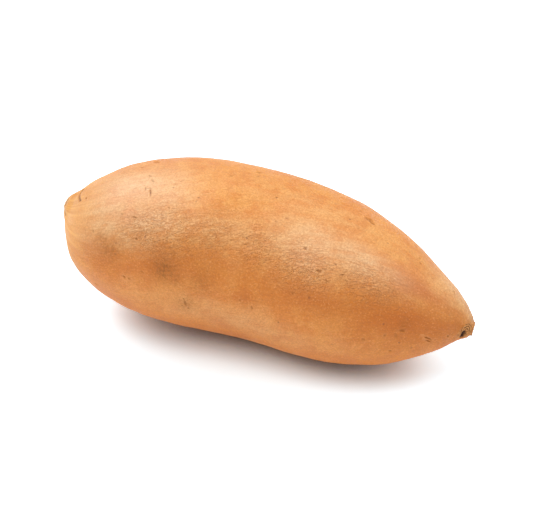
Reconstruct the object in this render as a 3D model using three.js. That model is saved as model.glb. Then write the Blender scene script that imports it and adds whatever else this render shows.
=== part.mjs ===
// A sweet potato, lying on the small flat spot that it rests on.
//
// It is one storage root, grown in one piece: a blunt stem end with the scar where it was
// parted from the vine, a plump body that bends a little, and a root tip that ends in a short
// woody stub.
//
// Millimetres, +Z up. +X runs from the stem end to the root tip. The origin is on the floor,
// under the middle of the root's box.

import * as THREE from "three";

// Driving dimensions.
const LENGTH = 170; // stem scar to the end of the stub
const THICKNESS = 67; // top to bottom, at the thickest place
const WIDTH = 74; // side to side, at the thickest place
const LEAN = THREE.MathUtils.degToRad(6); // how far the root tip dips as the root lies
const FLAT_DEPTH = 0.7; // how much of the belly the flat spot takes

// The woody stub at the root tip.
const STUB_LENGTH = 3.4;
const STUB_RADIUS = 3.3;
const STUB_DROOP = 1.2; // how far its end hangs below the middle line
const CREASE = 0.3; // how much of the length the step from the skin to the stub takes

// The line through the middle of the root, which runs straight from end to end but for these.
const BOW = 5.5; // how far the middle bends towards +Y
const DROOP = 2.4; // how far the shoulder by the stem end hangs below the line
const DROOP_PLACE = 0.08; // where it hangs lowest, as a share of the length

// Half of the outline of the skin, which turns round that line: a smooth curve through these
// places along the length, each with its radius as a share of half the thickness.
const OUTLINE = [
  [0, 0.09],
  [0.02, 0.3],
  [0.06, 0.54],
  [0.14, 0.8],
  [0.26, 0.96],
  [0.4, 1],
  [0.54, 0.99],
  [0.68, 0.93],
  [0.8, 0.76],
  [0.89, 0.53],
  [0.95, 0.32],
  [1 - STUB_LENGTH / LENGTH, 0.15],
];

// Swellings of the skin, and hollows where the height is less than nothing: the place as a share
// of the length, how many degrees round from the top towards -Y, and the reach along and round.
const SWELLINGS = [
  // The side towards -Y.
  { place: 0.08, round: 55, height: 2, along: 0.09, about: 35 },
  { place: 0.37, round: 33, height: 2.2, along: 0.085, about: 28 },
  { place: 0.72, round: 58, height: 1.9, along: 0.095, about: 27 },
  { place: 0.43, round: 102, height: -2.2, along: 0.16, about: 25 },
  // The top.
  { place: 0.19, round: 3, height: -1.3, along: 0.09, about: 28 },
  { place: 0.67, round: -5, height: -2, along: 0.14, about: 25 },
  // The belly, which swells where the root's weight lies and rises towards the tip.
  { place: 0.38, round: 176, height: 1.9, along: 0.17, about: 32 },
  { place: 0.68, round: 176, height: -1.6, along: 0.13, about: 32 },
  // The side towards +Y.
  { place: 0.3, round: -95, height: -1.6, along: 0.1, about: 40 },
  { place: 0.58, round: -110, height: 1.8, along: 0.12, about: 35 },
  { place: 0.82, round: -80, height: -1.2, along: 0.09, about: 40 },
];

// How finely the skin is divided.
const RINGS = 56; // along the body
const SEGMENTS = 44; // round it

// Round at both ends, the root is wider than it is thick between them.
const ROUND_BELOW = 0.1; // share of the full radius at which the section is still round
const WIDE_ABOVE = 0.9; // and at which it has its full width

const halfThickness = THICKNESS / 2;

// The outline from end to end: x along the root, y out from its middle line.
function wholeOutline() {
  const skin = new THREE.SplineCurve(
    OUTLINE.map(([place, radius]) => new THREE.Vector2(place * LENGTH, radius * halfThickness)),
  );
  const neck = LENGTH - STUB_LENGTH;
  const stub = [
    new THREE.Vector2(neck + CREASE, STUB_RADIUS),
    new THREE.Vector2(neck + STUB_LENGTH * 0.55, STUB_RADIUS),
    new THREE.Vector2(neck + STUB_LENGTH * 0.85, STUB_RADIUS * 0.85),
    new THREE.Vector2(LENGTH, STUB_RADIUS * 0.5),
  ];
  return [...skin.getSpacedPoints(RINGS), ...stub];
}

// The middle line's place sideways and upwards.
function middle(place) {
  const bend = Math.sin(Math.PI * place);
  const shoulder = place / DROOP_PLACE;
  const intoStub = Math.max(0, 1 - ((1 - place) * LENGTH) / STUB_LENGTH);
  return {
    aside: BOW * bend * bend,
    up: -DROOP * shoulder * Math.exp(1 - shoulder) - STUB_DROOP * intoStub,
  };
}

// How far the skin stands out at a place because of the swellings and hollows.
function swelling(place, round) {
  let out = 0;
  for (const lump of SWELLINGS) {
    const turn = round - lump.round;
    const shortWay = turn - 360 * Math.round(turn / 360);
    const alongBy = (place - lump.place) / lump.along;
    const aboutBy = shortWay / lump.about;
    out += lump.height * Math.exp(-alongBy * alongBy - aboutBy * aboutBy);
  }
  return out;
}

// The root's closed surface, with its middle line still level: rings of points round the middle
// line, and a last point in the middle of the scar and of the stub's end.
function rootGeometry() {
  const outline = wholeOutline();
  const positions = [];
  for (const { x, y } of outline) {
    const place = x / LENGTH;
    const { aside, up } = middle(place);
    const plump = y / halfThickness;
    const widening = THREE.MathUtils.smoothstep(plump, ROUND_BELOW, WIDE_ABOVE);
    const wide = THREE.MathUtils.lerp(1, WIDTH / THICKNESS, widening);
    for (let i = 0; i < SEGMENTS; i += 1) {
      const round = (360 * i) / SEGMENTS;
      const angle = THREE.MathUtils.degToRad(round);
      const out = y + swelling(place, round) * plump;
      positions.push(x, aside - Math.sin(angle) * out * wide, up + Math.cos(angle) * out);
    }
  }
  positions.push(0, 0, middle(0).up);
  positions.push(LENGTH, 0, middle(1).up);

  const scarMiddle = outline.length * SEGMENTS;
  const stubMiddle = scarMiddle + 1;
  const lastRing = (outline.length - 1) * SEGMENTS;
  const faces = [];
  for (let i = 0; i < SEGMENTS; i += 1) {
    const next = (i + 1) % SEGMENTS;
    faces.push(scarMiddle, next, i);
    for (let ring = 0; ring < lastRing; ring += SEGMENTS) {
      const nextRing = ring + SEGMENTS;
      faces.push(ring + i, nextRing + next, nextRing + i);
      faces.push(ring + i, ring + next, nextRing + next);
    }
    faces.push(stubMiddle, lastRing + i, lastRing + next);
  }

  const geometry = new THREE.BufferGeometry();
  geometry.setAttribute("position", new THREE.Float32BufferAttribute(positions, 3));
  geometry.setIndex(faces);
  return geometry;
}

// Leans the root as it lies, sets it down over the origin, and presses its belly flat where it
// would reach below the floor.
function layDown(geometry) {
  geometry.rotateY(LEAN);
  geometry.computeBoundingBox();
  const { min, max } = geometry.boundingBox;
  geometry.translate(-(min.x + max.x) / 2, -(min.y + max.y) / 2, -min.z - FLAT_DEPTH);
  const position = geometry.getAttribute("position");
  for (let i = 0; i < position.count; i += 1) {
    position.setZ(i, Math.max(0, position.getZ(i)));
  }
  return geometry;
}

const skin = new THREE.MeshStandardMaterial({ color: 0xd9975c, roughness: 0.55, metalness: 0 });

const root = new THREE.Mesh(layDown(rootGeometry()), skin);
root.name = "sweet_potato";

const group = new THREE.Group();
group.add(root);

export default group;
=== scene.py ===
import math

import bpy
import numpy as np
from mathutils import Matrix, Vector, noise


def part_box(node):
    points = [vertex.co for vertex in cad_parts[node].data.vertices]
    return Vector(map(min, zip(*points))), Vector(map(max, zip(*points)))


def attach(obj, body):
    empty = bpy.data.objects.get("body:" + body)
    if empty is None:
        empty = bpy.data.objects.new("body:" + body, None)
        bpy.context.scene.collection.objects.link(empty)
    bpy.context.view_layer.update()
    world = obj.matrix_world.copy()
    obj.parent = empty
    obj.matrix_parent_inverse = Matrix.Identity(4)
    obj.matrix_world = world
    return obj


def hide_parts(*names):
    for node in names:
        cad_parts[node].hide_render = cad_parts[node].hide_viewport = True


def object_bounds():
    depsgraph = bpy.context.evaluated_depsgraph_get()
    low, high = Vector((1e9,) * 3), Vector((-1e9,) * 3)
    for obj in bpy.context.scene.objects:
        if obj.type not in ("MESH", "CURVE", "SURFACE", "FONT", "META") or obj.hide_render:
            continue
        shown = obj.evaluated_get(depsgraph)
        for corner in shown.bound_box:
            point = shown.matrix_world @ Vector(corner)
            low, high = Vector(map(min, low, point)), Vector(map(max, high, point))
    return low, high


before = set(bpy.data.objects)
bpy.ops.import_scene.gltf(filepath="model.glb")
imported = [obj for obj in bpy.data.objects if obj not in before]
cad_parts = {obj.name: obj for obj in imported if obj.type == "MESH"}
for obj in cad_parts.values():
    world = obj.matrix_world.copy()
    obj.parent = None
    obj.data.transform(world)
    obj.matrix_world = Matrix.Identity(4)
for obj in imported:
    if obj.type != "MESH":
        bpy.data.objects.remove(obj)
cad_low, cad_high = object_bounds()

# --- The root's body ------------------------------------------------------------------------
# One storage root, grown in one piece: plump, a little bowed, blunt where the vine was and
# pointed at the other end. It lies leaning towards its tip, and its thin skin is soft, uneven
# and finely creased along its length.
MM = 0.001
LENGTH = 170 * MM
LEAN = math.radians(6)
BOW = 5.5 * MM
DROOP = 2.4 * MM
DROOP_PLACE = 0.08
STUB_LENGTH = 3.4 * MM
STUB_DROOP = 1.2 * MM
FULL_RADIUS = 34 * MM
SCAR_OFFSET = Vector((0.3, -5.7, -27.1)) * MM

box_middle = (cad_low + cad_high) / 2
stem_scar = np.array(Vector((cad_low.x, box_middle.y, cad_high.z)) + SCAR_OFFSET)
along = np.array((math.cos(LEAN), 0, -math.sin(LEAN)))
upward = np.array((math.sin(LEAN), 0, math.cos(LEAN)))
sideways = np.array((0, 1, 0))


def middle_line(share):
    """How far the middle of the root lies aside of the line from end to end, and above it."""
    shoulder = share / DROOP_PLACE
    into_stub = np.clip(1 - (1 - share) * LENGTH / STUB_LENGTH, 0, 1)
    aside = BOW * np.sin(math.pi * np.clip(share, 0, 1)) ** 2
    return aside, -DROOP * shoulder * np.exp(1 - shoulder) - STUB_DROOP * into_stub


def where(points):
    """Each point's share of the length, its degrees round from the top to -Y, and its radius."""
    out = points - stem_scar
    share = out @ along / LENGTH
    aside, rise = middle_line(share)
    y = out @ sideways - aside
    z = out @ upward - rise
    return share, np.degrees(np.arctan2(-y, z)), np.hypot(y, z)


def read_points(what="co"):
    """The places of the root's points, or their normals."""
    flat = np.empty(len(root.data.vertices) * 3)
    root.data.vertices.foreach_get(what, flat)
    return flat.reshape(-1, 3)


def write_points(points):
    root.data.vertices.foreach_set("co", points.ravel())
    root.data.update()


def turn_between(degrees, centre):
    """How far round the root one place is from another, the shorter way."""
    return (degrees - centre + 180) % 360 - 180


def patch(share, degrees, centre, reach):
    """A soft round patch: 1 in the middle, and fading out past its reach."""
    x = (share - centre[0]) / reach[0]
    y = turn_between(degrees, centre[1]) / reach[1]
    return np.exp(-x * x - y * y)


def smooth(value, low, high):
    """Rises softly from 0 at low to 1 at high."""
    t = np.clip((value - low) / (high - low), 0, 1)
    return t * t * (3 - 2 * t)


root = bpy.data.objects.new("whole_root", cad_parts["sweet_potato"].data.copy())
bpy.context.scene.collection.objects.link(root)
bpy.ops.object.select_all(action="DESELECT")
root.select_set(True)
bpy.context.view_layer.objects.active = root
bpy.ops.object.mode_set(mode="EDIT")
bpy.ops.mesh.select_all(action="SELECT")
bpy.ops.mesh.remove_doubles(threshold=0.01 * MM)
bpy.ops.mesh.tris_convert_to_quads()
bpy.ops.object.mode_set(mode="OBJECT")


def select_edges(wanted_points, round_only=False):
    """Selects the edges whose two ends are both wanted, or only those that run round the root."""
    mesh = root.data
    ends = np.empty(len(mesh.edges) * 2, dtype=np.int32)
    mesh.edges.foreach_get("vertices", ends)
    ends = ends.reshape(-1, 2)
    chosen = wanted_points[ends[:, 0]] & wanted_points[ends[:, 1]]
    if round_only:
        points = read_points()
        run = points[ends[:, 1]] - points[ends[:, 0]]
        chosen &= np.abs(run @ along) < 0.5 * np.linalg.norm(run, axis=1)
    bpy.ops.object.mode_set(mode="EDIT")
    bpy.ops.mesh.select_mode(type="EDGE")
    bpy.ops.mesh.select_all(action="DESELECT")
    bpy.ops.object.mode_set(mode="OBJECT")
    mesh.edges.foreach_set("select", chosen)
    bpy.ops.object.mode_set(mode="EDIT")


def apply_modifier(kind, **settings):
    bpy.ops.object.modifier_add(type=kind)
    modifier = root.modifiers[-1]
    for name, value in settings.items():
        setattr(modifier, name, value)
    bpy.ops.object.modifier_apply(modifier=modifier.name)


# The rim of the stem scar stays crisp when the rest is smoothed.
RIM_SHARE = 0.003
RIM_CRISPNESS = 0.8
share, degrees, radius = where(read_points())
select_edges((share < RIM_SHARE) & (radius > 1 * MM), round_only=True)
bpy.ops.transform.edge_crease(value=RIM_CRISPNESS)
bpy.ops.object.mode_set(mode="OBJECT")
apply_modifier("SUBSURF", levels=2, render_levels=2)

# Where the skin is finely creased along the length: (share, degrees), reach, strength.
CREASED = (
    ((0.29, 52), (0.11, 17), 1.0),
    ((0.40, 47), (0.08, 15), 0.7),
    ((0.51, 47), (0.07, 14), 0.8),
    ((0.62, 50), (0.08, 15), 1.0),
    ((0.76, 46), (0.10, 17), 0.8),
    ((0.13, 75), (0.07, 20), 0.35),
    ((0.35, -85), (0.14, 18), 0.9),
    ((0.68, -105), (0.12, 18), 0.9),
    ((0.52, -40), (0.10, 12), 0.5),
    ((0.30, 150), (0.12, 16), 0.6),
    ((0.75, 150), (0.10, 16), 0.7),
)


def strongest(patches, share, degrees):
    """How strongly each point lies in one or other of the patches."""
    total = np.zeros(len(share))
    for centre, reach, strength in patches:
        total = np.maximum(total, strength * patch(share, degrees, centre, reach))
    return total


# Scars of side roots, nicks and pits: each one's (share, degrees), length, width, depth, how far
# it is turned from the root's own length, how dark it is, and how far its rim stands out. Sizes
# are in mm and turns in degrees.
MARKS = (
    # The side that faces -Y, from the stem end on.
    ((0.220, 20), 3.4, 0.8, 0.18, 2, 0.6, 0.05),
    ((0.228, 24), 4.6, 0.95, 0.25, 66, 0.9, 0.06),
    ((0.204, 5), 2.9, 0.9, 0.18, 35, 0.65, 0.05),
    ((0.218, 11), 3.1, 0.9, 0.18, 42, 0.65, 0.05),
    ((0.213, 21), 3.0, 0.7, 0.18, 66, 0.7, 0.05),
    ((0.276, 15), 2.6, 0.8, 0.13, -45, 0.45, 0.05),
    ((0.287, 11), 2.6, 0.7, 0.13, -50, 0.39, 0.04),
    ((0.168, -9), 1.4, 1.1, 0.17, 0, 0.52, 0.05),
    ((0.217, 45), 2.6, 0.7, 0.17, 5, 0.59, 0.05),
    ((0.219, 47), 1.9, 0.7, 0.13, 70, 0.45, 0.04),
    ((0.185, 44), 1.3, 1.0, 0.17, 0, 0.52, 0.04),
    ((0.288, 35), 1.1, 1.0, 0.13, 0, 0.45, 0.04),
    ((0.237, 59), 1.3, 1.1, 0.20, 20, 0.59, 0.05),
    ((0.127, 60), 1.4, 1.0, 0.17, 30, 0.59, 0.05),
    ((0.225, 87), 1.4, 1.1, 0.20, 40, 0.72, 0.05),
    ((0.236, 87), 1.1, 1.0, 0.17, 0, 0.59, 0.05),
    ((0.144, 110), 2.4, 1.2, 0.22, 50, 0.65, 0.06),
    ((0.267, 79), 1.9, 0.7, 0.13, 10, 0.45, 0.04),
    ((0.369, 93), 1.4, 1.0, 0.22, 60, 0.72, 0.06),
    ((0.373, 97), 4.2, 1.2, 0.2, 84, 0.65, 0.05),
    ((0.379, 101), 1.4, 1.1, 0.22, 30, 0.65, 0.06),
    ((0.366, 100), 1.2, 0.7, 0.13, 0, 0.45, 0.04),
    ((0.500, 82), 1.3, 1.0, 0.13, 60, 0.52, 0.04),
    ((0.528, 85), 2.2, 1.0, 0.17, 80, 0.59, 0.05),
    ((0.414, 69), 1.2, 0.8, 0.13, 70, 0.45, 0.04),
    ((0.434, -18), 2.4, 0.8, 0.17, 0, 0.65, 0.05),
    ((0.441, -12), 1.1, 0.8, 0.13, 0, 0.52, 0.04),
    ((0.385, -2), 1.4, 0.8, 0.13, 0, 0.45, 0.04),
    ((0.539, -21), 2.6, 0.7, 0.13, -50, 0.45, 0.04),
    ((0.547, 22), 1.7, 1.0, 0.17, 10, 0.59, 0.05),
    ((0.528, 27), 1.3, 0.8, 0.13, 10, 0.52, 0.04),
    ((0.712, -15), 5.0, 2.8, 0.25, 12, 0.65, 0.06),
    ((0.724, -13), 3.1, 1.4, 0.28, 18, 0.78, 0.10),
    ((0.687, -21), 1.3, 1.0, 0.13, 0, 0.59, 0.04),
    ((0.690, -16), 1.2, 0.8, 0.13, 0, 0.52, 0.04),
    ((0.612, 38), 1.8, 1.2, 0.33, 0, 0.65, 0.08),
    ((0.657, 49), 2.2, 1.3, 0.33, -10, 0.72, 0.10),
    ((0.685, 41), 1.2, 0.8, 0.17, 0, 0.52, 0.05),
    ((0.707, 46), 1.2, 0.8, 0.17, 0, 0.52, 0.05),
    ((0.677, 53), 1.3, 0.8, 0.17, 0, 0.45, 0.05),
    ((0.614, 67), 1.4, 1.0, 0.13, 40, 0.52, 0.04),
    ((0.847, -10), 1.3, 1.0, 0.17, 10, 0.65, 0.05),
    ((0.853, -3), 1.2, 0.8, 0.13, 10, 0.59, 0.04),
    ((0.940, -5), 1.7, 0.8, 0.17, 30, 0.52, 0.05),
    ((0.860, 76), 2.9, 1.1, 0.2, -3, 0.75, 0.03),
    ((0.850, 81), 3.6, 1.5, 0.08, 70, 0.42, 0.0),
    ((0.828, 82), 1.4, 1.1, 0.17, 0, 0.59, 0.05),
    ((0.915, 86), 4.3, 0.8, 0.28, 30, 0.78, 0.08),
    ((0.918, 92), 3.8, 0.8, 0.28, 34, 0.78, 0.08),
    ((0.844, 100), 1.6, 1.0, 0.17, 20, 0.65, 0.05),
    ((0.785, 87), 1.6, 1.0, 0.17, 20, 0.52, 0.05),
    ((0.955, 88), 1.7, 0.8, 0.20, 60, 0.72, 0.06),
    ((0.190, -22), 3.8, 1.6, 0.39, 35, 0.39, 0.08),
    # Two pits beside the curled crease of the stem end.
    ((0.052, 31), 1.8, 1.4, 0.4, 45, 1.0, 0.12),
    ((0.067, 29), 1.7, 1.1, 0.28, 20, 0.59, 0.08),
    # The side that faces +Y, the top and the belly.
    ((0.14, -64), 3.8, 1.1, 0.33, 70, 0.85, 0.10),
    ((0.22, -98), 1.7, 1.1, 0.22, 10, 0.65, 0.06),
    ((0.27, -58), 1.4, 1.0, 0.17, 30, 0.59, 0.05),
    ((0.33, -120), 5.3, 1.4, 0.39, 80, 0.91, 0.12),
    ((0.36, -70), 1.3, 1.0, 0.17, 0, 0.59, 0.05),
    ((0.43, -94), 3.1, 1.0, 0.22, -20, 0.65, 0.08),
    ((0.47, -140), 1.7, 1.1, 0.22, 0, 0.65, 0.06),
    ((0.51, -62), 1.4, 1.1, 0.17, 50, 0.59, 0.05),
    ((0.56, -108), 2.2, 1.2, 0.28, 75, 0.78, 0.08),
    ((0.63, -50), 3.4, 1.0, 0.22, 12, 0.65, 0.06),
    ((0.66, -85), 1.4, 1.0, 0.17, 0, 0.52, 0.05),
    ((0.71, -128), 4.3, 1.3, 0.33, 72, 0.85, 0.10),
    ((0.77, -66), 1.6, 1.1, 0.20, 20, 0.65, 0.05),
    ((0.84, -100), 3.1, 1.1, 0.28, 60, 0.78, 0.08),
    ((0.91, -55), 2.2, 1.0, 0.22, 30, 0.65, 0.06),
    ((0.31, 158), 2.2, 1.2, 0.28, 60, 0.72, 0.06),
    ((0.62, 146), 1.8, 1.1, 0.22, 0, 0.65, 0.05),
    ((0.80, 168), 3.4, 1.2, 0.33, 75, 0.78, 0.08),
)
SKIN_SIDE = 5 * MM


def mark_place(points, normals, place, turn):
    """Each point's way along and across a mark, and whether it lies on the mark's side."""
    share, degrees, radius = where(points)
    off = np.hypot(
        (share - place[0]) * LENGTH, np.radians(turn_between(degrees, place[1])) * radius
    )
    nearest = np.argmin(off)
    normal = normals[nearest]
    lengthwise = along - normal * (along @ normal)
    lengthwise /= np.linalg.norm(lengthwise)
    crosswise = np.cross(lengthwise, normal)
    away = points - points[nearest]
    a, b = away @ lengthwise, away @ crosswise
    turn = math.radians(turn)
    u = a * math.cos(turn) + b * math.sin(turn)
    v = b * math.cos(turn) - a * math.sin(turn)
    return u, v, np.abs(away @ normal) < SKIN_SIDE


# Creases that curl over the stem end: their course, width, depth and how dark they are.
CURLS = (
    (
        ((0.039, 7), (0.0365, 13), (0.038, 18), (0.042, 24), (0.048, 29), (0.053, 31)),
        1.0, 0.5, 1.0,
    ),
    (((0.004, 20), (0.003, 45), (0.004, 58), (0.014, 63)), 0.9, 0.1, 0.7),
)


def off_course(points, course):
    """How far each point is from a line over the skin."""
    share, degrees, radius = where(points)
    off = np.full(len(points), 1.0)
    for (first, first_turn), (second, second_turn) in zip(course, course[1:]):
        a = (share - first) * LENGTH
        b = np.radians(turn_between(degrees, first_turn)) * radius
        run_a = (second - first) * LENGTH
        run_b = math.radians(second_turn - first_turn) * radius
        t = np.clip((a * run_a + b * run_b) / (run_a ** 2 + run_b ** 2), 0, 1)
        off = np.minimum(off, np.hypot(a - t * run_a, b - t * run_b))
    return off


# The skin is divided more finely where it is creased, round each mark and at both ends.
CREASED_ENOUGH = 0.32
BODY_FROM, BODY_TO = 0.06, 0.94
STEM_FACE, STUB_END = 0.004, 0.97
ROOM = 0.9 * MM
CUTS = 2
share, degrees, radius = where(read_points())
in_body = (share > BODY_FROM) & (share < BODY_TO)
fine = (strongest(CREASED, share, degrees) > CREASED_ENOUGH) & in_body
select_edges(fine, round_only=True)
bpy.ops.mesh.subdivide(number_cuts=CUTS, smoothness=1.0)
bpy.ops.object.mode_set(mode="OBJECT")
points, normals = read_points(), read_points("normal")
share = where(points)[0]
near_mark = (share > STUB_END) | (share < STEM_FACE)
for place, length, width, depth, turn, dark, rim in MARKS:
    u, v, close = mark_place(points, normals, place, turn)
    in_length = np.abs(u) < length / 2 * MM + ROOM
    in_width = np.abs(v) < width / 2 * MM + ROOM
    near_mark |= close & in_length & in_width
for course, width, depth, dark in CURLS:
    near_mark |= off_course(points, course) < width * MM
select_edges(near_mark)
bpy.ops.mesh.subdivide(number_cuts=CUTS, smoothness=1.0)
bpy.ops.mesh.select_mode(type="VERT")
bpy.ops.object.mode_set(mode="OBJECT")

# The tip narrows in a straight cone, right into its woody stub. The cone swells on top, and its
# end is drawn out a little.
CONE_FROM, CONE_TO = 0.93, 0.985
CONE_SLOPE = 0.95
CONE_BEYOND = 3.0 * MM
CONE_RISE = 0.45 * MM
CONE_SWELL = 1.2 * MM
SWELL_AT = -10
STUB_FROM = 0.988
STUB_NARROWING = 0.2
DRAWN_OUT = 0.5 * MM
points = read_points()
share, degrees, radius = where(points)
steps = np.linspace(0.9, 1.0, 60)
order = np.argsort(share)
body_radius = np.interp(
    steps, share[order], np.maximum.accumulate(radius[order][::-1])[::-1]
)
now = np.interp(share, steps, body_radius)
cone = CONE_SLOPE * (LENGTH * (1 - share) + CONE_BEYOND)
in_cone = smooth(share, CONE_FROM, CONE_TO)
narrowing = 1 + in_cone * (cone / now - 1)
narrowing *= 1 - STUB_NARROWING * smooth(share, STUB_FROM, 1.0)
aside, rise = middle_line(share)
centre = (
    stem_scar + share[:, None] * LENGTH * along + aside[:, None] * sideways
    + rise[:, None] * upward
)
points = centre + (points - centre) * narrowing[:, None]
points += (CONE_RISE * in_cone)[:, None] * upward
swell = smooth(share, 0.88, 0.95) * (1 - smooth(share, 0.97, 0.99))
swell *= np.clip(np.cos(np.radians(degrees - SWELL_AT)), 0, 1)
points += (CONE_SWELL * swell)[:, None] * upward
points += (DRAWN_OUT * smooth(share, 0.97, 0.996))[:, None] * along
undrawn_share = share


def pushed_out(points, amounts):
    """The points, each moved away from the root's middle line by its own amount."""
    return points + (points - centre) / np.maximum(radius, MM)[:, None] * amounts[:, None]


# The rim of the stem scar stands out at its upper corner.
RIM_RISE, RIM_AT = 2.0 * MM, 24
RIM_LEAN = 0.45
corner = (1 - smooth(share, 0.0, 0.03)) * smooth(radius, 1.5 * MM, 3.4 * MM)
corner *= np.clip(np.cos(np.radians(degrees - RIM_AT)), 0, 1) ** 2
points = pushed_out(points, RIM_RISE * corner)
points -= (RIM_LEAN * RIM_RISE * corner)[:, None] * along

# The stem end is fuller on its lower side, and the lower side between the lobes is hollow.
FULLER = 1.5 * MM
SADDLE = 1.5 * MM
fuller = FULLER * patch(share, degrees, (0.056, 105), (0.042, 35))
fuller -= SADDLE * patch(share, degrees, (0.485, 130), (0.12, 32))
points = pushed_out(points, fuller)
write_points(points)


def clouds(name, size, depth=1, hard=False):
    texture = bpy.data.textures.new(name, "CLOUDS")
    texture.noise_scale = size
    texture.noise_depth = depth
    texture.noise_type = "HARD_NOISE" if hard else "SOFT_NOISE"
    return texture


def paint(name, weights):
    """Paints a vertex group, one weight for each point."""
    group = root.vertex_groups.new(name=name)
    for i in np.nonzero(weights > 0.004)[0]:
        group.add([int(i)], float(min(1, weights[i])), "REPLACE")


# The root grew unevenly and has soft dents, but less so towards its ends.
END_REACH = 0.1
share, degrees, radius = where(points)
paint("body", smooth(share, 0.0, END_REACH) * smooth(1 - share, 0.0, END_REACH))
paint("creased", strongest(CREASED, share, degrees))
apply_modifier(
    "DISPLACE", texture=clouds("uneven growth", 26 * MM), strength=1.1 * MM, mid_level=0.62,
    vertex_group="body",
)
apply_modifier(
    "DISPLACE", texture=clouds("soft dents", 8 * MM, 2), strength=0.35 * MM,
    vertex_group="body",
)

# The creases run a little askew, and are much longer than they are wide.
GRAIN_TURN = math.radians(19)
GRAIN_STRETCH = 3.2
bpy.ops.object.empty_add(location=(0, 0, 0), rotation=(0, 0, GRAIN_TURN))
grain = bpy.context.object
grain.scale = (GRAIN_STRETCH, 1, 1)
bpy.ops.object.select_all(action="DESELECT")
root.select_set(True)
bpy.context.view_layer.objects.active = root
apply_modifier(
    "DISPLACE", texture=clouds("lengthwise creases", 2.0 * MM, 1, hard=True),
    texture_coords="OBJECT", texture_coords_object=grain,
    strength=0.11 * MM, vertex_group="creased",
)
bpy.data.objects.remove(grain)

# The marks are sunk, each in its own raised rim, and none has an even edge.
RAGGED = 0.45
RAGGED_SIZE = 0.8 * MM
CURL_RIM = 0.3
points, normals = read_points(), read_points("normal")
sunk = np.zeros(len(points))
raised = np.zeros(len(points))
scar = np.zeros(len(points))
for place, length, width, depth, turn, dark, rim in MARKS:
    u, v, close = mark_place(points, normals, place, turn)
    out = np.hypot(u / (length / 2 * MM), v / (width / 2 * MM))
    near = np.nonzero(close & (out < 3))[0]
    uneven = np.array([noise.noise(Vector(points[i]) / RAGGED_SIZE) for i in near])
    out = out[near] * (1 + RAGGED * uneven)
    hollow = 1 - smooth(out, 0.35, 1.15)
    edge = np.exp(-((out - 1.35) / 0.35) ** 2)
    sunk[near] = np.maximum(sunk[near], hollow * depth)
    raised[near] = np.maximum(raised[near], edge * rim)
    scar[near] = np.maximum(scar[near], hollow * dark)
for course, width, depth, dark in CURLS:
    out = off_course(points, course) / (width / 2 * MM)
    hollow = 1 - smooth(out, 0.35, 1.3)
    sunk = np.maximum(sunk, hollow * depth)
    raised = np.maximum(raised, np.exp(-((out - 1.7) / 0.4) ** 2) * depth * CURL_RIM)
    scar = np.maximum(scar, hollow * dark)

# Pleats run into the stem scar, whose face is dished.
PLEATS_ROUND, PLEATS_ALONG = 0.075, 14
PLEAT_HEIGHT = 0.4
DISH_DEPTH = 0.5
share, degrees, radius = where(points)
pleat_at = np.array([
    noise.noise(Vector((d * PLEATS_ROUND, s * PLEATS_ALONG, 3.1)))
    for d, s in zip(degrees, share)
])
pleats = (1 - smooth(share, 0.02, 0.11)) * smooth(radius, 2 * MM, 6 * MM) * pleat_at
scar_face = (1 - smooth(share, 0.0, 0.004)) * (1 - smooth(radius, 1.5 * MM, 3.2 * MM))
lift = (PLEAT_HEIGHT * pleats + raised - sunk - DISH_DEPTH * scar_face) * MM

# The woody stub: torn rings of wood on its broken end, pits below them, painted near black as
# painted shade, and shallow steps all round it.
BREAK_AT, BREAK_TURN = (0.990, 66), -50
RING_GAP = 0.95
RING_HEIGHT = 0.2
RING_WAVER, WAVER_SIZE = 3.5, 1.3 * MM
RING_DARK = 0.8
STEP_GAP, STEP_HEIGHT = 0.6 * MM, 0.06 * MM
u, v, close = mark_place(points, normals, BREAK_AT, BREAK_TURN)
out = np.where(close, np.hypot(u, v), 1.0) / MM
waver = np.array([noise.noise(Vector(p) / WAVER_SIZE) for p in points])
arcs = np.sin(out * 2 * math.pi / RING_GAP + RING_WAVER * waver) * (1 - smooth(out, 2.2, 3.0))
lift += RING_HEIGHT * arcs * MM
pale = np.clip(arcs, 0, 1)
dark = RING_DARK * np.clip(-arcs - 0.1, 0, 1) * np.clip(1 + 2 * waver, 0, 1.2)
broken = 1 - smooth(np.hypot((u / MM + 0.8) / 3.9, v / MM / 2.7), 0.8, 1.1)
broken = np.where(close, broken, 0)
# Each pit's (share, degrees), radius and depth in mm.
STUB_PITS = (
    ((0.986, 82), 1.4, 0.7),
    ((0.983, 104), 1.2, 0.6),
    ((0.985, 95), 1.0, 0.5),
    ((0.970, 170), 1.0, 0.4),
    ((0.975, -110), 0.9, 0.4),
)
for place, size, depth in STUB_PITS:
    u, v, close = mark_place(points, normals, place, 0)
    out = np.hypot(u, v) / (size * MM)
    pit = np.where(close, 1 - smooth(out, 0.3, 1.1), 0)
    lift -= depth * pit * MM
    # The pits are painted dark as well: painted shade.
    dark = np.maximum(dark, pit)
askew = 1.2 * np.sin(np.radians(degrees) * 2)
steps = np.sin(undrawn_share * LENGTH / STEP_GAP * math.pi + askew)
lift += STEP_HEIGHT * steps * smooth(undrawn_share, 0.968, 0.985)
stem_wood = (1 - smooth(share, 0.002, 0.007)) * (1 - smooth(radius, 2.8 * MM, 4 * MM))
woody = np.maximum(np.maximum(smooth(undrawn_share, 0.984, 0.995), broken), stem_wood)
points += normals * lift[:, None]

# The finished root keeps within the solid's own size, and lies on the floor.
SNUG = 0.9998
low, high = (np.array(corner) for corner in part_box("sweet_potato"))
middle = (low + high) / 2
spread = np.abs(points - middle).max(axis=0)
points = middle + (points - middle) * np.minimum(1, (high - low) / 2 / spread * SNUG)
points[:, 2] -= points[:, 2].min()
write_points(points)
bpy.ops.object.shade_smooth()
root.vertex_groups.clear()


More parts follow.
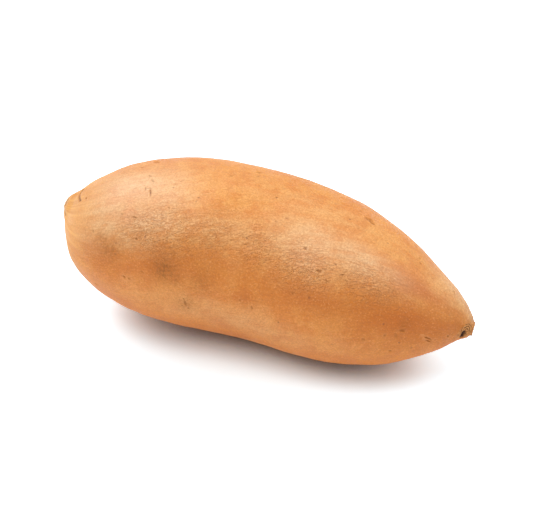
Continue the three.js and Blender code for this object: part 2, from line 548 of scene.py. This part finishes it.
def keep(name, values):
    """Keeps one value for each point, for the skin's colours to follow."""
    values = np.asarray(values, dtype=np.float32)
    kind = "FLOAT" if values.ndim == 1 else "FLOAT_VECTOR"
    attribute = root.data.attributes.new(name, kind, "POINT")
    attribute.data.foreach_set("value" if values.ndim == 1 else "vector", values.ravel())


# A place on the unrolled skin, so that streaks follow the root and draw together at its ends.
TWIST, TWIST_TO = 0.32, 0.8
DRAWN_IN = 6 * MM
FULL_RIM = 0.12
turned = np.radians(degrees) + TWIST * LENGTH * np.minimum(share, TWIST_TO) / FULL_RADIUS
reach = FULL_RADIUS * np.clip(radius / DRAWN_IN, 0, 1)
keep("round place", np.stack((share * LENGTH, reach * np.cos(turned), reach * np.sin(turned)), 1))
keep("crease depth", strongest(CREASED, share, degrees))
keep("scar", scar)
keep("rim", np.clip(raised / FULL_RIM, 0, 1))

# Where the skin is painted pale, where it is stained, where it is painted a deeper orange, and
# where it is rubbed to a soft shine: (share, degrees), reach, strength. The pale patches on the
# lit lobes are painted highlight, and those round the far side a dry bloom; the deeper orange
# along the darker band below the lit top is painted shade, and on the far side the skin's own
# tone.
PALE_HIGHLIGHT_AND_BLOOM = (
    ((0.19, 14), (0.12, 26), 1.0),
    ((0.13, 46), (0.09, 22), 1.0),
    ((0.25, 46), (0.10, 14), 0.9),
    ((0.05, 50), (0.08, 34), 0.6),
    ((0.28, 28), (0.07, 12), 0.9),
    ((0.62, 2), (0.22, 16), 0.4),
    ((0.40, 42), (0.14, 13), 0.5),
    ((0.62, 32), (0.10, 22), 0.9),
    ((0.73, 30), (0.09, 16), 1.0),
    ((0.22, 58), (0.08, 10), 0.85),
    ((0.15, 54), (0.07, 12), 1.0),
    ((0.10, 62), (0.08, 16), 0.7),
    ((0.95, -8), (0.07, 26), 1.0),
    ((0.30, -110), (0.12, 26), 0.6),
    ((0.70, -70), (0.12, 26), 0.6),
    ((0.48, 102), (0.26, 14), 0.5),
    ((0.55, 165), (0.16, 30), 0.4),
)
STAINS = (
    ((0.155, 64), (0.022, 5), 0.5),
    ((0.182, 70), (0.028, 7), 0.65),
    ((0.318, 74), (0.028, 8), 1.0),
    ((0.345, 78), (0.020, 6), 0.6),
    ((0.405, 78), (0.030, 9), 0.45),
    ((0.372, 97), (0.020, 8), 0.6),
    ((0.862, 68), (0.012, 6), 0.5),
    ((0.56, -86), (0.05, 10), 0.7),
    ((0.25, -132), (0.04, 9), 0.6),
    ((0.72, 160), (0.05, 12), 0.6),
)
SHADE_AND_FLUSH = (
    ((0.33, 68), (0.12, 12), 0.75),
    ((0.17, 76), (0.08, 12), 0.5),
    ((0.508, 79), (0.04, 8), 0.7),
    ((0.66, 66), (0.14, 12), 0.85),
    ((0.86, 66), (0.14, 24), 1.0),
    ((0.87, 30), (0.09, 12), 0.9),
    ((0.24, 78), (0.10, 10), 0.6),
    ((0.42, 63), (0.08, 8), 0.5),
    ((0.31, 72), (0.10, 10), 0.8),
    ((0.40, -96), (0.10, 12), 0.5),
    ((0.80, -110), (0.08, 14), 0.5),
)
POLISH = (
    ((0.17, 26), (0.14, 26), 1.0),
    ((0.66, 32), (0.18, 16), 1.0),
    ((0.30, -100), (0.14, 24), 1.0),
    ((0.70, -80), (0.16, 20), 1.0),
)
for name, patches in (
    ("highlight_and_bloom", PALE_HIGHLIGHT_AND_BLOOM), ("stain", STAINS), ("shade_and_flush", SHADE_AND_FLUSH), ("polish", POLISH)
):
    keep(name, strongest(patches, share, degrees))
# How far up each point faces, for the painted light on the top.
keep("lit top", 0.5 + 0.5 * np.cos(np.radians(degrees - 5)))
keep("woody", woody)
keep("woody dark and pit shade", dark)
keep("woody pale", pale)
keep("stem fibres", 1 - smooth(share, 0.01, 0.13))

# The skin is thin and dry, with a soft gloss that is stronger where it is rubbed.
SKIN_GLOSS = 0.42
POLISH_ROUGHNESS = 0.4
root.data.materials.clear()
skin = bpy.data.materials.new("orange tan skin")
skin.use_nodes = True
shader = skin.node_tree.nodes["Principled BSDF"]
shader.inputs["Specular IOR Level"].default_value = SKIN_GLOSS
shader.inputs["Coat Roughness"].default_value = POLISH_ROUGHNESS
root.data.materials.append(skin)


def add(kind, **inputs):
    """Adds a node to the skin; an input is a value or another node's output."""
    node = skin.node_tree.nodes.new(kind)
    for name, value in inputs.items():
        socket = node.inputs[int(name[1:]) if name[1:].isdigit() else name.replace("_", " ")]
        if isinstance(value, bpy.types.NodeSocket):
            skin.node_tree.links.new(value, socket)
        else:
            socket.default_value = value
    return node


def painted(name):
    """One of the values that each point of the root keeps."""
    node = add("ShaderNodeAttribute")
    node.attribute_name = name
    return node.outputs["Fac"]


def stretched(vector, x, y, z):
    """A place for a pattern to follow, so that it comes out longer where the number is small."""
    return add("ShaderNodeMapping", Vector=vector, Scale=(x, y, z)).outputs["Vector"]


def mottle(vector, size, detail=2.0, roughness=0.5, distortion=0.0):
    """Soft random spots, of about this size."""
    node = add(
        "ShaderNodeTexNoise", Vector=vector, Scale=1 / size, Detail=detail,
        Roughness=roughness, Distortion=distortion,
    )
    return node.outputs["Fac"]


def between(value, low, high, to_low=0.0, to_high=1.0):
    """Goes softly from to_low to to_high as the value goes from low to high."""
    node = add("ShaderNodeMapRange", Value=value)
    node.interpolation_type = "SMOOTHSTEP"
    for name, number in (
        ("From Min", low), ("From Max", high), ("To Min", to_low), ("To Max", to_high)
    ):
        node.inputs[name].default_value = number
    return node.outputs["Result"]


def figure(operation, first, second=0.0):
    node = add("ShaderNodeMath", _0=first, _1=second)
    node.operation = operation
    return node.outputs["Value"]


def times(first, second):
    return figure("MULTIPLY", first, second)


def plus(first, second):
    return figure("ADD", first, second)


def blend(amount, first, second):
    """The first colour, with an amount of the second laid over it."""
    colours = (
        colour if isinstance(colour, bpy.types.NodeSocket) else (*colour, 1)
        for colour in (first, second)
    )
    node = skin.node_tree.nodes.new("ShaderNodeMix")
    node.data_type = "RGBA"
    for socket, value in zip((0, 6, 7), (amount, *colours)):
        if isinstance(value, bpy.types.NodeSocket):
            skin.node_tree.links.new(value, node.inputs[socket])
        else:
            node.inputs[socket].default_value = value
    return node.outputs[2]


object_place = add("ShaderNodeTexCoord").outputs["Object"]
unrolled = add("ShaderNodeAttribute")
unrolled.attribute_name = "round place"
unrolled = unrolled.outputs["Vector"]

# The skin's colour: a warm orange, painted yellower and paler on top and a deeper orange below,
# as painted light from above, and mottled at every size.
SHADED_LOWER_ORANGE, LIT_TOP_ORANGE = (0.885, 0.291, 0.03), (0.855, 0.378, 0.087)
MOTTLE_ORANGE = (0.68, 0.17, 0.008)
PINK = (0.86, 0.36, 0.11)
SHADE_AND_FLUSH_ORANGE = (0.6, 0.15, 0.008)
broad = between(mottle(object_place, 20 * MM, 3, 0.5), 0.3, 0.7)
small = between(mottle(object_place, 5 * MM, 3, 0.6), 0.25, 0.75)
streak = between(mottle(stretched(unrolled, 0.16, 1, 1), 2.6 * MM, 3, 0.6), 0.25, 0.75)
tiny = mottle(object_place, 0.7 * MM, 2, 0.7)
# Painted light and shade: paler on top, deeper orange on the lower side.
colour = blend(painted("lit top"), SHADED_LOWER_ORANGE, LIT_TOP_ORANGE)
tone = plus(times(broad, 0.4), plus(times(small, 0.35), times(streak, 0.25)))
colour = blend(between(tone, 0.2, 0.8, 0.55, 0.0), colour, MOTTLE_ORANGE)
pink = between(mottle(object_place, 11 * MM, 2, 0.5), 0.5, 0.7, 0.0, 0.35)
colour = blend(pink, colour, PINK)
# A deeper orange: painted shade along the darker band below the lit top, the skin's own tone on
# the far side.
colour = blend(painted("shade_and_flush"), colour, SHADE_AND_FLUSH_ORANGE)

# The pale patches: painted highlight on the lit lobes, and a dry pale bloom round the far side.
PALE_HIGHLIGHT_AND_BLOOM_CREAM = (0.92, 0.6, 0.3)
patchy = plus(times(small, 0.5), times(streak, 0.5))
highlight_and_bloom = times(painted("highlight_and_bloom"), between(patchy, 0.1, 0.8, 0.45, 0.85))
colour = blend(highlight_and_bloom, colour, PALE_HIGHLIGHT_AND_BLOOM_CREAM)

# Fine wavy creases along the root, with their valleys painted darker as painted shade, and a dry
# grain all over.
CREASE_SHADE_BROWN, FINE_CREASE_SHADE_BROWN = (0.7, 0.21, 0.01), (0.74, 0.22, 0.012)
GRAIN_DARK, GRAIN_PALE = (0.5, 0.15, 0.02), (0.95, 0.47, 0.17)
crease_depth = between(painted("crease depth"), 0.0, 0.9, 0.36, 1.2)
wavy = mottle(stretched(unrolled, 0.4, 1, 1), 1.6 * MM, 1.5, 0.55, 0.6)
ridge = between(figure("ABSOLUTE", plus(wavy, -0.5)), 0.0, 0.075)
finer = mottle(stretched(unrolled, 0.55, 1, 1), 0.9 * MM, 1, 0.5, 0.8)
finer_ridge = between(figure("ABSOLUTE", plus(finer, -0.5)), 0.0, 0.08)
across = mottle(stretched(unrolled, 1, 0.14, 0.14), 1.3 * MM, 1, 0.5)
across_patch = between(mottle(object_place, 14 * MM, 1, 0.5), 0.5, 0.64)
# Painted shade in the valleys of the creases.
crease_shade = times(figure("SUBTRACT", 1.0, ridge), crease_depth)
finer_crease_shade = times(figure("SUBTRACT", 1.0, finer_ridge), crease_depth)
colour = blend(times(crease_shade, 0.32), colour, CREASE_SHADE_BROWN)
colour = blend(times(finer_crease_shade, 0.34), colour, FINE_CREASE_SHADE_BROWN)
colour = blend(between(tiny, 0.32, 0.68, 0.42, 0.0), colour, GRAIN_DARK)
colour = blend(between(tiny, 0.55, 0.75, 0.0, 0.4), colour, GRAIN_PALE)

# Pores: small dark pits, on some places only.
PORE_GAP = 5.5 * MM
PORE_BROWN = (0.3, 0.09, 0.02)
pores = add("ShaderNodeTexVoronoi", Vector=object_place, Scale=1 / PORE_GAP)
chance = add("ShaderNodeSeparateColor", Color=pores.outputs["Color"])
some = between(chance.outputs[0], 0.6, 0.66)
pore = times(between(pores.outputs["Distance"], 0.05, 0.12, 1.0, 0.0), some)
colour = blend(times(pore, 0.6), colour, PORE_BROWN)

# Pale and dark fibres drawn together at the stem scar, where the skin is yellower.
STEM_YELLOW = (0.92, 0.4, 0.05)
PALE_FIBRE, DARK_FIBRE = (0.93, 0.5, 0.12), (0.7, 0.26, 0.03)
fibre = mottle(stretched(unrolled, 0.06, 1, 1), 1.6 * MM, 2, 0.6)
at_stem = painted("stem fibres")
colour = blend(times(at_stem, 0.5), colour, STEM_YELLOW)
colour = blend(times(at_stem, between(fibre, 0.45, 0.7, 0.0, 0.7)), colour, PALE_FIBRE)
colour = blend(times(at_stem, between(fibre, 0.5, 0.3, 0.0, 0.5)), colour, DARK_FIBRE)

# Stains, broken up by the grain, and the scars of side roots, each with a pale lip.
STAIN_BROWN, LIP_CREAM, SCAR_BROWN = (0.25, 0.08, 0.002), (0.9, 0.46, 0.17), (0.32, 0.095, 0.003)
stain_grain = mottle(object_place, 1.0 * MM, 3, 0.7)
dirt = times(painted("stain"), between(stain_grain, 0.35, 0.68, 0.3, 1.0))
colour = blend(times(dirt, 0.8), colour, STAIN_BROWN)
colour = blend(times(painted("rim"), 0.4), colour, LIP_CREAM)
scar_grain = mottle(object_place, 0.8 * MM, 2, 0.6)
scarred = times(painted("scar"), between(scar_grain, 0.25, 0.6, 0.45, 1.0))
colour = blend(scarred, colour, SCAR_BROWN)

# The stub is bare wood, tan and ringed; its pits are painted near black, a painted shade.
WOOD_BROWN, WOOD_TAN, WOOD_PALE = (0.5, 0.17, 0.03), (0.88, 0.4, 0.11), (0.9, 0.5, 0.19)
PIT_SHADE_BLACK = (0.05, 0.012, 0.001)
wood_grain = between(mottle(object_place, 0.9 * MM, 3, 0.7), 0.3, 0.7)
wood = blend(wood_grain, WOOD_BROWN, WOOD_TAN)
wood = blend(times(painted("woody pale"), 0.7), wood, WOOD_PALE)
colour = blend(times(painted("woody"), 0.85), colour, wood)
colour = blend(painted("woody dark and pit shade"), colour, PIT_SHADE_BLACK)

# The relief that is finer than the mesh, in mm, and how matt the skin is.
RELIEF = (
    (times(finer_ridge, crease_depth), 0.13),
    (tiny, 0.07),
    (times(across, across_patch), 0.08),
    (streak, 0.05),
    (pore, -0.12),
)
height = times(times(ridge, crease_depth), 0.12)
for part, rise in RELIEF:
    height = plus(height, times(part, rise))
bump = add("ShaderNodeBump", Height=height, Strength=1.0, Distance=MM)
rough = plus(between(small, 0.0, 1.0, 0.40, 0.48), times(dirt, 0.1))
rough = plus(rough, times(scarred, 0.2))
skin.node_tree.links.new(colour, shader.inputs["Base Color"])
skin.node_tree.links.new(rough, shader.inputs["Roughness"])
skin.node_tree.links.new(painted("polish"), shader.inputs["Coat Weight"])
skin.node_tree.links.new(bump.outputs["Normal"], shader.inputs["Normal"])

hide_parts("sweet_potato")
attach(root, "root")

# --- The floor, the light and the camera ----------------------------------------------------
# A wide sheet of matt white paper lies under the root, in a white room with one large window
# and softer lamps round it. Near the root the paper is evenly white, but for the root's soft
# shadow, which is darkest where the two nearly touch and is partly painted into the paper's
# colour.
PAPER_SIZE = 4
PAPER_WHITE = (0.9, 0.9, 0.9, 1)
SHADOW_REACH = 24 * MM
SHADOW_FROM, SHADOW_TO, SHADOW_FALL = 0.07, 0.52, 0.5
# The paper's painted shadow colour under the root, and its colour out on the open floor.
PAINTED_SHADOW_UNDER_ROOT, OPEN_FLOOR = (0.2, 0.2, 0.19, 1), (1.24, 1.52, 1.67, 1)
IN_REFLECTIONS = (1.15, 1.15, 1.15, 1)

bpy.ops.mesh.primitive_plane_add(size=PAPER_SIZE)
floor = bpy.context.object
floor.name = "floor"
paper = bpy.data.materials.new("white paper")
paper.use_nodes = True
paper_nodes = paper.node_tree.nodes
join = paper.node_tree.links.new


def paper_node(kind, **settings):
    node = paper_nodes.new(kind)
    for name, value in settings.items():
        setattr(node, name, value)
    return node


matt = paper_nodes["Principled BSDF"]
matt.inputs["Base Color"].default_value = PAPER_WHITE
matt.inputs["Roughness"].default_value = 0.9
matt.inputs["Specular IOR Level"].default_value = 0.0
ray = paper_node("ShaderNodeLightPath")

# The paper's colour is painted darker where the root leaves little open sky over it: a painted
# shadow, on top of the real shadow.
open_sky = paper_node("ShaderNodeAmbientOcclusion")
open_sky.inputs["Distance"].default_value = SHADOW_REACH
shade = paper_node("ShaderNodeMapRange")
shade.inputs["From Min"].default_value = SHADOW_FROM
shade.inputs["From Max"].default_value = SHADOW_TO
fall = paper_node("ShaderNodeMath", operation="POWER")
fall.inputs[1].default_value = SHADOW_FALL
painted_shadow_tint = paper_node("ShaderNodeMix", data_type="RGBA")
painted_shadow_tint.inputs[6].default_value = PAINTED_SHADOW_UNDER_ROOT
painted_shadow_tint.inputs[7].default_value = OPEN_FLOOR
join(open_sky.outputs["AO"], shade.inputs["Value"])
join(shade.outputs["Result"], fall.inputs[0])
join(fall.outputs[0], painted_shadow_tint.inputs[0])

# The paper that is looked at has the shadow, what shines reflects it plain and bright, and the
# light that it throws back on the root is that of matt white paper.
shown = paper_node("ShaderNodeMix", data_type="RGBA")
shown.inputs[6].default_value = IN_REFLECTIONS
bright = paper_node("ShaderNodeBsdfDiffuse")
either = paper_node("ShaderNodeMath", operation="ADD")
any_view = paper_node("ShaderNodeMath", operation="ADD", use_clamp=True)
choice = paper_node("ShaderNodeMixShader")
join(ray.outputs["Is Camera Ray"], shown.inputs[0])
join(painted_shadow_tint.outputs[2], shown.inputs[7])
join(shown.outputs[2], bright.inputs["Color"])
join(ray.outputs["Is Camera Ray"], either.inputs[0])
join(ray.outputs["Is Glossy Ray"], either.inputs[1])
join(either.outputs[0], any_view.inputs[0])
join(ray.outputs["Is Transmission Ray"], any_view.inputs[1])
join(any_view.outputs[0], choice.inputs[0])
join(matt.outputs[0], choice.inputs[1])
join(bright.outputs[0], choice.inputs[2])
join(choice.outputs[0], paper_nodes["Material Output"].inputs["Surface"])
floor.data.materials.append(paper)

ROOM_BRIGHTNESS = 0.53
world = bpy.data.worlds.new("studio")
bpy.context.scene.world = world
world.use_nodes = True
room_light = world.node_tree.nodes["Background"]
room_light.inputs["Color"].default_value = (1, 1, 1, 1)
room_light.inputs["Strength"].default_value = ROOM_BRIGHTNESS

# Each lamp's name, its degrees round from -Y and up from the floor, its width and its power.
LAMP_DISTANCE = 1.2
LAMPS = (
    ("window light", -125, 50, 1.4, 5.5),
    ("key light", -42, 57, 0.8, 4.95),
    ("back left light", -135, 45, 0.8, 1.5),
    ("back right light", 130, 42, 0.8, 2.2),
    ("right light", 105, 32, 0.8, 3.1),
)


def direction(azimuth, elevation):
    a, e = math.radians(azimuth), math.radians(elevation)
    return Vector((math.sin(a) * math.cos(e), -math.cos(a) * math.cos(e), math.sin(e)))


for name, azimuth, elevation, width, power in LAMPS:
    away = direction(azimuth, elevation)
    bpy.ops.object.light_add(type="AREA", location=box_middle + away * LAMP_DISTANCE)
    light = bpy.context.object
    light.name = name
    light.data.shape = "DISK"
    light.data.size = width
    light.data.energy = power
    light.rotation_euler = away.to_track_quat("Z", "Y").to_euler()

CAMERA_AZIMUTH, CAMERA_ELEVATION = 19, 36
CAMERA_DISTANCE = 0.56
LENS = 95
AIM_OFFSET = Vector((-1.6, 1.3, -2.4)) * MM
back = direction(CAMERA_AZIMUTH, CAMERA_ELEVATION)
aim = box_middle + AIM_OFFSET
bpy.ops.object.camera_add(location=aim + back * CAMERA_DISTANCE)
camera = bpy.context.object
camera.rotation_euler = back.to_track_quat("Z", "Y").to_euler()
camera.data.lens = LENS
bpy.context.scene.camera = camera
bpy.context.scene.view_settings.view_transform = "Standard"
